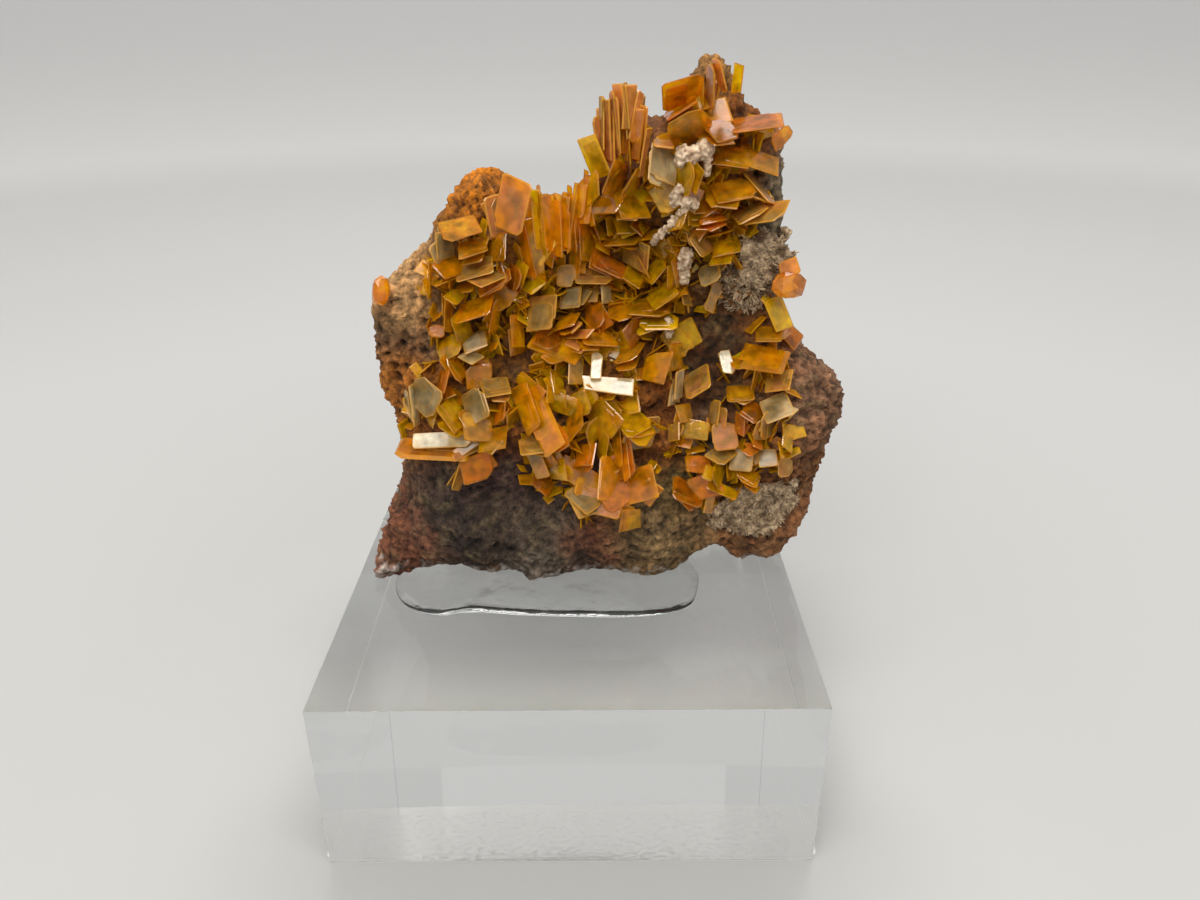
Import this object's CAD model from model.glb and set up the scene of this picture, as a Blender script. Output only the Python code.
# Wulfenite on matrix: a slab of rusty rock covered with thin amber crystals, glued to a clear block.
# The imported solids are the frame. Metres, +Z up, the crystals face -Y.
import math
import random

import bmesh
import bpy
import numpy as np
from mathutils import Matrix, Vector, noise
from mathutils.bvhtree import BVHTree


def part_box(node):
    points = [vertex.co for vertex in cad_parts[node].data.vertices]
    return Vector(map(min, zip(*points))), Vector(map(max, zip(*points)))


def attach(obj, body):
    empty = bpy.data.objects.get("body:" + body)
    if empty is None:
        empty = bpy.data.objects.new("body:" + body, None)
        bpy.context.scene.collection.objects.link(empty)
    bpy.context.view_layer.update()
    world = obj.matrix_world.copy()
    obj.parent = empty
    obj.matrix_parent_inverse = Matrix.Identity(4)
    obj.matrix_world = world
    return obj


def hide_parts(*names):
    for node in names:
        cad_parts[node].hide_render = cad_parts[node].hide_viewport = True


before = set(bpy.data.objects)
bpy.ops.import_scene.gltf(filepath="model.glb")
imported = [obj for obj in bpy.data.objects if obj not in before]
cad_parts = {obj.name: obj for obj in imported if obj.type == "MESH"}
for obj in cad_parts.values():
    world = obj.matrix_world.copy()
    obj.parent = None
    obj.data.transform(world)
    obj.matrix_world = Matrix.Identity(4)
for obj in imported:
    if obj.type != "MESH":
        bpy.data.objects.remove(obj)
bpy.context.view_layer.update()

MM = 0.001

# Camera: a phone-wide lens held a little above the specimen and tipped down 25.6 degrees,
# level to within a third of a degree.
LENS_MM = 27.53
CAMERA_PLACE = Vector((4.077, -117.430, 100.976)) * MM
TIPPED_DOWN = 0.446544
TURNED = -0.000468
ROLLED = -0.005068

lens = bpy.data.cameras.new("lens")
lens.sensor_width = 36.0
lens.lens = LENS_MM
lens.clip_start = 0.005
lens.clip_end = 10.0
camera = bpy.data.objects.new("camera", lens)
bpy.context.scene.collection.objects.link(camera)
ahead = Vector((math.sin(TURNED) * math.cos(TIPPED_DOWN), math.cos(TURNED) * math.cos(TIPPED_DOWN),
                -math.sin(TIPPED_DOWN)))
level = Vector((math.cos(TURNED), math.sin(TURNED), 0.0))
upright = level.cross(ahead)
side = level * math.cos(ROLLED) + upright * math.sin(ROLLED)
head = upright * math.cos(ROLLED) - level * math.sin(ROLLED)
camera.matrix_world = (Matrix.Translation(CAMERA_PLACE)
                       @ Matrix((side, head, -ahead)).transposed().to_4x4())
bpy.context.scene.camera = camera
bpy.context.scene.view_settings.view_transform = "Standard"

# Studio: a seamless pale sheet that lies flat under the block and curves up all round, lit by one
# wide soft light overhead and an even white surround. None of it belongs to the object.
FLOOR_DROP = 0.12
FLOOR_RADIUS = 560.0
SHEET_CURVE = 160.0
SHEET_TOP = 240.0
SHEET_SEGMENTS = 96


def plain_material(name):
    material = bpy.data.materials.new(name)
    material.use_nodes = True
    return material, material.node_tree, material.node_tree.nodes["Principled BSDF"]


def new_object(name, mesh, *materials):
    obj = bpy.data.objects.new(name, mesh)
    for material in materials:
        mesh.materials.append(material)
    bpy.context.scene.collection.objects.link(obj)
    return obj


def seamless_sheet():
    profile = [(0.0, 0.0), (60.0, 0.0), (140.0, 0.0), (300.0, 0.0), (FLOOR_RADIUS, 0.0)]
    for step in range(1, 13):
        turn = math.radians(90.0 * step / 12)
        profile.append((FLOOR_RADIUS + SHEET_CURVE * math.sin(turn), SHEET_CURVE * (1 - math.cos(turn))))
    profile.append((FLOOR_RADIUS + SHEET_CURVE, SHEET_TOP))
    bm = bmesh.new()
    centre = bm.verts.new((0.0, 0.0, -FLOOR_DROP * MM))
    rings = []
    for radius, height in profile[1:]:
        ring = []
        for index in range(SHEET_SEGMENTS):
            angle = 2 * math.pi * index / SHEET_SEGMENTS
            ring.append(bm.verts.new((radius * math.cos(angle) * MM, radius * math.sin(angle) * MM,
                                      (height - FLOOR_DROP) * MM)))
        rings.append(ring)
    for index in range(SHEET_SEGMENTS):
        after = (index + 1) % SHEET_SEGMENTS
        bm.faces.new((centre, rings[0][index], rings[0][after]))
        for inner, outer in zip(rings, rings[1:]):
            bm.faces.new((inner[index], outer[index], outer[after], inner[after]))
    for face in bm.faces:
        face.smooth = True
    mesh = bpy.data.meshes.new("seamless_sheet")
    bm.to_mesh(mesh)
    bm.free()
    return mesh


sheet_paper, tree, shader = plain_material("sheet_paper")
where = tree.nodes.new("ShaderNodeTexCoord")
away = tree.nodes.new("ShaderNodeVectorMath")
away.operation = "LENGTH"
paper = tree.nodes.new("ShaderNodeValToRGB")
paper.color_ramp.elements[0].position = 0.08
paper.color_ramp.elements[0].color = (0.455, 0.453, 0.442, 1.0)
paper.color_ramp.elements[1].position = 0.62
paper.color_ramp.elements[1].color = (0.65, 0.65, 0.64, 1.0)
beyond = paper.color_ramp.elements.new(0.2)
beyond.color = (0.53, 0.53, 0.522, 1.0)
wall = paper.color_ramp.elements.new(0.74)
wall.color = (0.43, 0.43, 0.435, 1.0)
axes = tree.nodes.new("ShaderNodeSeparateXYZ")
sideways = tree.nodes.new("ShaderNodeMath")
sideways.operation = "ABSOLUTE"
sideways_in = tree.nodes.new("ShaderNodeMath")
sideways_in.operation = "MULTIPLY_ADD"
sideways_in.inputs[1].default_value = 0.975
front_corner = tree.nodes.new("ShaderNodeMapRange")
front_corner.inputs["From Min"].default_value = 0.0306
front_corner.inputs["From Max"].default_value = 0.0316
front_corner.inputs["To Max"].default_value = 0.0014
behind = tree.nodes.new("ShaderNodeMath")
behind.operation = "MULTIPLY"
behind.inputs[1].default_value = 0.975
before = tree.nodes.new("ShaderNodeMath")
before.operation = "MULTIPLY"
before.inputs[1].default_value = -1.0
inwards = tree.nodes.new("ShaderNodeMath")
inwards.operation = "MAXIMUM"
farther = tree.nodes.new("ShaderNodeMath")
farther.operation = "MAXIMUM"
footprint = tree.nodes.new("ShaderNodeMapRange")
footprint.inputs["From Min"].default_value = 0.0314
footprint.inputs["From Max"].default_value = 0.0318
footprint.inputs["To Min"].default_value = 1.0
footprint.inputs["To Max"].default_value = 0.0
clean = tree.nodes.new("ShaderNodeMix")
clean.data_type = "RGBA"
under_block = tree.nodes.new("ShaderNodeMapRange")
under_block.inputs["From Min"].default_value = -0.0317
under_block.inputs["From Max"].default_value = 0.0317
under_tone = tree.nodes.new("ShaderNodeValToRGB")
under_tone.color_ramp.elements[0].position = 0.25
under_tone.color_ramp.elements[0].color = (0.84, 0.835, 0.79, 1.0)
under_tone.color_ramp.elements[1].position = 0.85
under_tone.color_ramp.elements[1].color = (0.95, 0.945, 0.93, 1.0)
middle_tone = under_tone.color_ramp.elements.new(0.45)
middle_tone.color = (0.72, 0.71, 0.705, 1.0)
rear_tone = under_tone.color_ramp.elements.new(0.62)
rear_tone.color = (0.86, 0.855, 0.85, 1.0)
tree.links.new(where.outputs["Object"], away.inputs[0])
tree.links.new(away.outputs["Value"], paper.inputs["Fac"])
tree.links.new(where.outputs["Object"], axes.inputs[0])
tree.links.new(axes.outputs["X"], sideways.inputs[0])
tree.links.new(axes.outputs["Y"], behind.inputs[0])
tree.links.new(axes.outputs["Y"], before.inputs[0])
tree.links.new(behind.outputs[0], inwards.inputs[0])
tree.links.new(before.outputs[0], inwards.inputs[1])
tree.links.new(sideways.outputs[0], sideways_in.inputs[0])
tree.links.new(before.outputs[0], front_corner.inputs["Value"])
tree.links.new(front_corner.outputs["Result"], sideways_in.inputs[2])
tree.links.new(sideways_in.outputs[0], farther.inputs[0])
tree.links.new(inwards.outputs[0], farther.inputs[1])
tree.links.new(farther.outputs[0], footprint.inputs["Value"])
tree.links.new(footprint.outputs["Result"], clean.inputs["Factor"])
tree.links.new(axes.outputs["Y"], under_block.inputs["Value"])
tree.links.new(under_block.outputs["Result"], under_tone.inputs["Fac"])
tree.links.new(under_tone.outputs["Color"], clean.inputs["B"])
contact = tree.nodes.new("ShaderNodeMapping")
contact.inputs["Location"].default_value = (0.0, 1.55, 0.0)
contact.inputs["Scale"].default_value = (26.0, 48.0, 0.0)
contact_reach = tree.nodes.new("ShaderNodeVectorMath")
contact_reach.operation = "LENGTH"
contact_shade = tree.nodes.new("ShaderNodeMapRange")
contact_shade.interpolation_type = "SMOOTHSTEP"
contact_shade.inputs["From Min"].default_value = 0.55
contact_shade.inputs["From Max"].default_value = 1.5
contact_shade.inputs["To Min"].default_value = 0.82
contact_shade.inputs["To Max"].default_value = 1.0
shaded_paper = tree.nodes.new("ShaderNodeVectorMath")
shaded_paper.operation = "SCALE"
tree.links.new(where.outputs["Object"], contact.inputs["Vector"])
tree.links.new(contact.outputs["Vector"], contact_reach.inputs[0])
tree.links.new(contact_reach.outputs["Value"], contact_shade.inputs["Value"])
tree.links.new(paper.outputs["Color"], shaded_paper.inputs[0])
tree.links.new(contact_shade.outputs["Result"], shaded_paper.inputs["Scale"])
tree.links.new(shaded_paper.outputs[0], clean.inputs["A"])
tree.links.new(clean.outputs["Result"], shader.inputs["Base Color"])
shader.inputs["Roughness"].default_value = 0.38
shader.inputs["Specular IOR Level"].default_value = 0.45
new_object("seamless_sheet", seamless_sheet(), sheet_paper)

surround = bpy.data.worlds.new("white_surround")
bpy.context.scene.world = surround
surround.use_nodes = True
sky = surround.node_tree
white = sky.nodes["Background"]
white.inputs["Color"].default_value = (1.0, 0.995, 0.975, 1.0)
around = sky.nodes.new("ShaderNodeTexCoord")
facing = sky.nodes.new("ShaderNodeVectorMath")
facing.operation = "DOT_PRODUCT"
facing.inputs[1].default_value = (0.0, -0.87, 0.49)
towards = sky.nodes.new("ShaderNodeMath")
towards.operation = "MAXIMUM"
towards.inputs[1].default_value = 0.0
narrowed = sky.nodes.new("ShaderNodeMath")
narrowed.operation = "POWER"
narrowed.inputs[1].default_value = 1.6
brightness = sky.nodes.new("ShaderNodeMath")
brightness.operation = "MULTIPLY_ADD"
brightness.inputs[1].default_value = 0.65
brightness.inputs[2].default_value = 0.54
sky.links.new(around.outputs["Generated"], facing.inputs[0])
sky.links.new(facing.outputs["Value"], towards.inputs[0])
sky.links.new(towards.outputs[0], narrowed.inputs[0])
sky.links.new(narrowed.outputs[0], brightness.inputs[0])
sky.links.new(brightness.outputs[0], white.inputs["Strength"])


def soft_light(name, place, aim, width, depth, watts, colour):
    lamp = bpy.data.lights.new(name, "AREA")
    lamp.shape = "RECTANGLE"
    lamp.size = width * MM
    lamp.size_y = depth * MM
    lamp.energy = watts
    lamp.color = colour
    light = bpy.data.objects.new(name, lamp)
    bpy.context.scene.collection.objects.link(light)
    spot = Vector(place) * MM
    towards = (Vector(aim) * MM - spot).to_track_quat("-Z", "Y").to_matrix().to_4x4()
    light.matrix_world = Matrix.Translation(spot) @ towards
    return light


for light in (soft_light("overhead_light", (0, -140, 520), (0, 0, 60), 380, 60, 1.2, (1.0, 0.98, 0.95)),
              soft_light("back_light", (40, 260, 470), (0, 20, 20), 400, 120, 0.7, (1.0, 0.98, 0.96)),
              soft_light("front_light", (-90, -400, 400), (3, -5, 60), 300, 220, 1.45, (1.0, 0.98, 0.95))):
    light.visible_transmission = False

# Block: a square block of clear cast acrylic with polished faces and sharp, barely broken edges. It
# stands loose on the sheet. A frosted, pebbly patch covers the front part of its underside.
BLOCK_EDGE = 0.035
HAZE_LEFT = -25.8
HAZE_RIGHT = 31.4
HAZE_BACK = -13.2


def to_linear(colour):
    """Red, green and blue as seen on a screen, 0 to 255, as the linear values that a shader takes."""
    return tuple((value / 255 / 12.92) if value <= 10 else ((value / 255 + 0.055) / 1.055) ** 2.4
                 for value in colour)


def block_mesh():
    low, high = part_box("acrylic_block")
    bm = bmesh.new()
    size = Matrix.Diagonal((*(high - low), 1.0))
    bmesh.ops.create_cube(bm, size=1.0, matrix=Matrix.Translation((low + high) / 2) @ size)
    bmesh.ops.bevel(bm, geom=bm.edges[:], offset=BLOCK_EDGE * MM, segments=2, profile=0.5,
                    affect="EDGES")
    mesh = bpy.data.meshes.new("clear_block")
    bm.to_mesh(mesh)
    bm.free()
    return mesh


acrylic, tree, shader = plain_material("clear_acrylic")
shader.inputs["Transmission Weight"].default_value = 1.0
shader.inputs["IOR"].default_value = 1.49
where = tree.nodes.new("ShaderNodeTexCoord")
cast = tree.nodes.new("ShaderNodeTexNoise")
cast.inputs["Scale"].default_value = 30.0
cast.inputs["Detail"].default_value = 2.0
tint = tree.nodes.new("ShaderNodeValToRGB")
tint.color_ramp.elements[0].color = (0.975, 0.982, 0.978, 1.0)
tint.color_ramp.elements[1].color = (0.995, 0.998, 0.992, 1.0)
tree.links.new(where.outputs["Object"], cast.inputs["Vector"])
tree.links.new(cast.outputs["Fac"], tint.inputs["Fac"])
block_axes = tree.nodes.new("ShaderNodeSeparateXYZ")
pebbles = tree.nodes.new("ShaderNodeTexNoise")
pebbles.inputs["Scale"].default_value = 1100.0
pebbles.inputs["Detail"].default_value = 4.0
wander = tree.nodes.new("ShaderNodeTexNoise")
wander.inputs["Scale"].default_value = 160.0
wander.inputs["Detail"].default_value = 3.0
haze = tree.nodes.new("ShaderNodeMapRange")
haze.inputs["From Min"].default_value = 0.3
haze.inputs["From Max"].default_value = 0.7
haze.inputs["To Min"].default_value = 0.03
haze.inputs["To Max"].default_value = 0.2
limits = []
for axis, border, past in (("X", HAZE_LEFT, 1), ("X", HAZE_RIGHT, -1), ("Y", HAZE_BACK, -1),
                           ("Z", 0.3, -1)):
    edge = tree.nodes.new("ShaderNodeMapRange")
    edge.inputs["From Min"].default_value = (border - 0.25 * past) * MM
    edge.inputs["From Max"].default_value = (border + 0.25 * past) * MM
    limits.append(edge)
    if axis == "Z":
        tree.links.new(block_axes.outputs[axis], edge.inputs["Value"])
        continue
    warped = tree.nodes.new("ShaderNodeMath")
    warped.operation = "MULTIPLY_ADD"
    warped.inputs[1].default_value = 6.0 * MM
    tree.links.new(wander.outputs["Fac"], warped.inputs[0])
    tree.links.new(block_axes.outputs[axis], warped.inputs[2])
    tree.links.new(warped.outputs[0], edge.inputs["Value"])
tree.links.new(where.outputs["Object"], block_axes.inputs[0])
tree.links.new(where.outputs["Object"], pebbles.inputs["Vector"])
tree.links.new(where.outputs["Object"], wander.inputs["Vector"])
tree.links.new(pebbles.outputs["Fac"], haze.inputs["Value"])
amount = haze.outputs["Result"]
for edge in limits:
    within = tree.nodes.new("ShaderNodeMath")
    within.operation = "MULTIPLY"
    tree.links.new(amount, within.inputs[0])
    tree.links.new(edge.outputs["Result"], within.inputs[1])
    amount = within.outputs[0]
tree.links.new(amount, shader.inputs["Roughness"])
frosted_share = tree.nodes.new("ShaderNodeMapRange")
frosted_share.inputs["From Max"].default_value = 0.12
frosted_share.inputs["To Max"].default_value = 1.0
frosted_tint = tree.nodes.new("ShaderNodeMix")
frosted_tint.data_type = "RGBA"
frosted_tint.inputs["B"].default_value = (0.95, 0.955, 0.93, 1.0)
tree.links.new(amount, frosted_share.inputs["Value"])
tree.links.new(frosted_share.outputs["Result"], frosted_tint.inputs["Factor"])
tree.links.new(tint.outputs["Color"], frosted_tint.inputs["A"])
tree.links.new(frosted_tint.outputs["Result"], shader.inputs["Base Color"])
block = new_object("clear_block", block_mesh(), acrylic)
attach(block, "root")
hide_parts("acrylic_block")

# Glue: clear glue that was poured round the foot of the rock and set as a low rounded puddle. It is
# bonded to the block, and wets the rock's lower edge.
GLUE_HEIGHT = 1.4
GLUE_SINK = 0.08
GLUE_MIDDLE = (-4.0, 1.0)
GLUE_OUTLINE = [
    (-26.0, -2.0), (-25.5, -6.5), (-23.0, -10.5), (-18.5, -12.5), (-13.5, -11.8), (-7.0, -12.6),
    (0.0, -13.0), (7.0, -13.2), (12.5, -12.6), (16.5, -10.5), (18.0, -6.5), (18.5, -1.5),
    (17.0, 5.0), (12.0, 10.5), (2.0, 12.5), (-10.0, 12.0), (-20.0, 10.5), (-25.5, 5.0),
]
GLUE_RINGS = [(1.0, 0.0), (0.998, 0.05), (0.982, 0.155), (0.966, 0.26), (0.95, 0.345), (0.93, 0.40),
              (0.89, 0.47), (0.80, 0.58), (0.70, 0.72), (0.6, 0.86), (0.45, 1.0), (0.25, 1.0)]
GLUE_POINTS = 120


def smooth_loop(points, count):
    """The outline as a smooth closed curve of evenly spaced points."""
    dense = []
    total = len(points)
    for index in range(total):
        a, b, c, d = (Vector(points[(index + k) % total]) for k in (-1, 0, 1, 2))
        for step in range(16):
            t = step / 16
            dense.append(0.5 * ((2 * b) + (c - a) * t + (2 * a - 5 * b + 4 * c - d) * t * t
                                + (3 * b - a - 3 * c + d) * t * t * t))
    lengths = [0.0]
    for here, after in zip(dense, dense[1:] + dense[:1]):
        lengths.append(lengths[-1] + (after - here).length)
    loop = []
    place = 0
    for index in range(count):
        goal = lengths[-1] * index / count
        while lengths[place + 1] < goal:
            place += 1
        share = (goal - lengths[place]) / (lengths[place + 1] - lengths[place])
        loop.append(dense[place].lerp(dense[(place + 1) % len(dense)], share))
    return loop


def glue_mesh(deck):
    loop = smooth_loop(GLUE_OUTLINE, GLUE_POINTS)
    middle = Vector(GLUE_MIDDLE)
    bm = bmesh.new()
    under = [bm.verts.new((spot.x * MM, spot.y * MM, deck - GLUE_SINK * MM)) for spot in loop]
    rings = [under]
    for share, height in GLUE_RINGS:
        ring = []
        for spot in loop:
            place = middle + (spot - middle) * share
            wave = noise.noise(Vector((place.x * 0.16, place.y * 0.16, 3.0)))
            swell = height * (GLUE_HEIGHT + 0.3 * wave) if height else 0.02
            ring.append(bm.verts.new((place.x * MM, place.y * MM, deck + swell * MM)))
        rings.append(ring)
    for lower, upper in zip(rings, rings[1:]):
        for index in range(GLUE_POINTS):
            after = (index + 1) % GLUE_POINTS
            bm.faces.new((lower[index], lower[after], upper[after], upper[index]))
    bm.faces.new(list(reversed(under)))
    bm.faces.new(rings[-1])
    for face in bm.faces:
        face.smooth = len(face.verts) == 4
    bmesh.ops.recalc_face_normals(bm, faces=bm.faces)
    mesh = bpy.data.meshes.new("glue_puddle")
    bm.to_mesh(mesh)
    bm.free()
    return mesh


set_glue, tree, shader = plain_material("clear_glue")
shader.inputs["Base Color"].default_value = (0.97, 0.975, 0.97, 1.0)
shader.inputs["Transmission Weight"].default_value = 1.0
shader.inputs["IOR"].default_value = 1.5
where = tree.nodes.new("ShaderNodeTexCoord")
pull = tree.nodes.new("ShaderNodeTexNoise")
pull.inputs["Scale"].default_value = 260.0
pull.inputs["Detail"].default_value = 3.0
skin = tree.nodes.new("ShaderNodeBump")
skin.inputs["Strength"].default_value = 0.22
skin.inputs["Distance"].default_value = 0.0006
cloud = tree.nodes.new("ShaderNodeMapRange")
cloud.inputs["From Min"].default_value = 0.5
cloud.inputs["From Max"].default_value = 0.75
cloud.inputs["To Min"].default_value = 0.01
cloud.inputs["To Max"].default_value = 0.2
tree.links.new(where.outputs["Object"], pull.inputs["Vector"])
tree.links.new(pull.outputs["Fac"], skin.inputs["Height"])
tree.links.new(skin.outputs["Normal"], shader.inputs["Normal"])
tree.links.new(pull.outputs["Fac"], cloud.inputs["Value"])
tree.links.new(cloud.outputs["Result"], shader.inputs["Roughness"])
glue = new_object("glue_puddle", glue_mesh(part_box("acrylic_block")[1].z), set_glue)
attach(glue, "root")
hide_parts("glue")

# Rock: one broken slab of limonite and dark base rock, set on edge. It is rusty and porous where it
# weathered, near black at the foot, and fibrous at the lower left corner and in the right lobe.
ROCK_VOXEL = 0.42
ROCK_FOOT_Z = 25.5
FOOT_REACH_Z = 31.0
CHIP_SMOOTHING = 8
# Each area of the rock: x, z, half width, half height, how porous, how fibrous, and its colour
ROCK_AREAS = {
    "ochre_shoulder": (-10.6, 82.0, 5.0, 4.0, 0.8, 0.0, (176, 102, 8)),
    "tan_lump": (-20.8, 69.0, 5.5, 6.5, 0.35, 0.0, (172, 130, 82)),
    "lump_foot": (-21.4, 62.4, 5.0, 2.6, 0.7, 0.0, (96, 66, 44)),
    "rusty_left": (-22.0, 56.0, 4.5, 5.5, 1.0, 0.0, (146, 88, 28)),
    "rusty_ledge": (-9.4, 49.4, 7.0, 2.4, 0.8, 0.0, (120, 68, 22)),
    "rusty_centre": (11.4, 54.6, 4.5, 5.5, 1.0, 0.0, (132, 76, 24)),
    "rusty_low": (10.8, 47.4, 4.0, 3.0, 0.9, 0.0, (110, 64, 22)),
    "dark_left": (-14.9, 37.2, 6.5, 6.5, 0.2, 0.1, (50, 40, 34)),
    "purple_base": (-7.0, 44.2, 8.0, 4.0, 0.2, 0.0, (62, 42, 38)),
    "dark_middle": (-3.7, 37.0, 5.0, 5.0, 0.2, 0.0, (72, 60, 48)),
    "grey_stain": (-2.5, 30.5, 6.0, 4.0, 0.3, 0.0, (92, 80, 68)),
    "red_seam": (2.5, 33.0, 3.5, 4.5, 0.4, 0.2, (104, 58, 36)),
    "fibrous_corner": (-25.0, 33.5, 5.0, 5.5, 0.3, 1.0, (104, 62, 42)),
    "olive_base": (11.4, 35.4, 6.0, 7.0, 0.3, 0.1, (112, 88, 56)),
    "olive_ledge": (15.7, 42.4, 3.5, 3.0, 0.6, 0.0, (104, 84, 40)),
    "lobe_upper": (32.6, 53.6, 4.5, 5.5, 0.2, 1.0, (112, 78, 54)),
    "lobe_middle": (31.4, 44.6, 4.5, 5.0, 0.4, 0.8, (114, 72, 40)),
    "lobe_lower": (28.0, 35.8, 7.0, 5.5, 0.3, 0.5, (118, 76, 44)),
    "cavity": (18.2, 60.6, 4.0, 6.5, 0.3, 0.6, (70, 42, 20)),
    "cavity_low": (17.8, 53.6, 3.0, 4.0, 0.3, 0.5, (92, 56, 28)),
    "grey_shelf": (17.4, 49.4, 2.6, 2.2, 0.3, 0.0, (100, 92, 78)),
    "grey_edge": (25.8, 77.0, 2.6, 5.0, 0.5, 0.2, (118, 102, 80)),
    "peak_hollow": (19.8, 91.4, 3.4, 3.0, 0.6, 0.0, (128, 76, 30)),
    "peak_tip": (17.8, 95.2, 2.4, 2.2, 0.6, 0.3, (140, 98, 46)),
    "fan_root": (5.9, 86.0, 3.5, 4.0, 0.3, 0.3, (120, 76, 44)),
    "crystal_bed": (2.0, 68.0, 13.0, 12.0, 0.5, 0.0, (104, 62, 8)),
    "shoulder_bed": (-12.0, 70.0, 6.0, 8.0, 0.6, 0.0, (104, 64, 14)),
}
STAIN_COLOUR = (112, 96, 66)
SMEAR_COLOUR = (176, 168, 158)
SMEAR_TOP = 29.5
BACK_COLOURS = [(112, 72, 40), (84, 58, 40), (136, 92, 44)]


def merged_copy(node):
    """A CAD node's shape as one welded mesh."""
    bm = bmesh.new()
    bm.from_mesh(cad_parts[node].data)
    bmesh.ops.remove_doubles(bm, verts=bm.verts, dist=1e-6)
    mesh = bpy.data.meshes.new(node + "_copy")
    bm.to_mesh(mesh)
    bm.free()
    return mesh


def baked(obj):
    """Puts the object's evaluated mesh in place of its own, and drops its modifiers."""
    graph = bpy.context.evaluated_depsgraph_get()
    mesh = bpy.data.meshes.new_from_object(obj.evaluated_get(graph))
    obj.modifiers.clear()
    obj.data = mesh
    return mesh


def area_weights(x, z):
    """How far each rock area reaches here, with wavering borders."""
    waver = noise.noise_vector(Vector((x, 0.0, z)) * 0.28) * 2.2
    finer = noise.noise_vector(Vector((x, 9.0, z)) * 0.9) * 0.8
    x += waver.x + finer.x
    z += waver.z + finer.z
    weights = []
    for area_x, area_z, half_width, half_height, *_ in ROCK_AREAS.values():
        reach = ((x - area_x) / half_width) ** 2 + ((z - area_z) / half_height) ** 2
        weights.append(math.exp(-1.6 * reach))
    return weights


def weathered_skin(mesh):
    """Lumps, pits, cracks and fibres on the rock's skin, and each point's colour."""
    values = list(ROCK_AREAS.values())
    porous = [area[4] for area in values]
    fibrous = [area[5] for area in values]
    colours = [Vector(to_linear(area[6])) for area in values]
    back_colours = [Vector(to_linear(colour)) for colour in BACK_COLOURS]
    paint = mesh.color_attributes.new("rock_colour", "FLOAT_COLOR", "POINT")
    roughened = []
    places = []
    low_z = min(vert.co.z for vert in mesh.vertices) / MM
    for vert in mesh.vertices:
        spot = vert.co / MM
        normal = vert.normal
        weights = area_weights(spot.x, spot.z)
        total = sum(weights) + 0.02
        pores = (sum(w * p for w, p in zip(weights, porous)) + 0.01) / total
        fibres = sum(w * f for w, f in zip(weights, fibrous)) / total
        roughened.append(min(max(pores, 0.0), 1.0))
        lumps = noise.fractal(spot * 0.3, 0.85, 2.1, 5) * 0.8
        grain = noise.fractal(spot * 1.2, 0.8, 2.2, 3) * 0.34
        crack = 1.0 - min(abs(noise.noise(spot * 0.21 + Vector((7.0, 2.0, 5.0)))) / 0.045, 1.0)
        near = noise.voronoi(spot * 0.62)[0][0]
        pit = max(0.0, 0.42 - near) / 0.42
        gate = min(max(noise.noise(spot * 0.3) * 2.0 + 0.6, 0.0), 1.0)
        strand = noise.noise(Vector((spot.x * 0.35, spot.y * 0.9, spot.z * 2.2 + spot.x * 0.5)))
        fall = (lumps * (0.6 + 0.5 * pores) + grain * (0.3 + 1.6 * pores) - 0.35 * crack
                - 1.5 * pit * gate * (0.3 + pores)
                + 0.75 * fibres * strand)
        place = spot + normal * fall
        if place.z < FOOT_REACH_Z:
            share = (FOOT_REACH_Z - place.z) / (FOOT_REACH_Z - low_z)
            place.z = FOOT_REACH_Z - min(share, 1.0) * (FOOT_REACH_Z - ROCK_FOOT_Z)
        places.append(place * MM)
        colour = Vector((0.0, 0.0, 0.0))
        for weight, shade in zip(weights, colours):
            colour += shade * weight
        colour += Vector(to_linear((118, 72, 30))) * 0.02
        colour /= total
        behind = min(max((spot.y - 6.0 + 2.0 * lumps) / 4.0, 0.0), 1.0)
        if behind > 0.0:
            pick = noise.noise(spot * 0.12) * 1.6 + 1.0
            low = min(max(int(pick), 0), 1)
            backing = back_colours[low].lerp(back_colours[low + 1], min(max(pick - low, 0.0), 1.0))
            colour = colour.lerp(backing, behind * 0.8)
        stain = noise.fractal(spot * 0.42 + Vector((3.0, 1.0, 8.0)), 0.9, 2.1, 4)
        if stain > 0.0:
            colour = colour.lerp(Vector(to_linear(STAIN_COLOUR)), min(stain * 0.8, 0.5) * (1.0 - pores))
        if spot.z < SMEAR_TOP and spot.y < 0.0:
            smear = noise.fractal(spot * 0.8, 0.8, 2.2, 3) + (SMEAR_TOP - spot.z) * 0.14 - 0.15
            colour = colour.lerp(Vector(to_linear(SMEAR_COLOUR)), min(max(smear, 0.0) * 1.4, 0.7))
        shade = 1.02 + 0.8 * lumps + 1.4 * grain - 0.5 * crack - 0.8 * min(pit * gate * 1.6, 1.0)
        shade *= 1.0 + 0.35 * fibres * strand
        colour = colour * max(shade, 0.12)
        paint.data[vert.index].color = (*colour, 1.0)
    for vert, place in zip(mesh.vertices, places):
        vert.co = place
    mesh.attributes.new("rock_pores", "FLOAT", "POINT").data.foreach_set("value", roughened)


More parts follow.
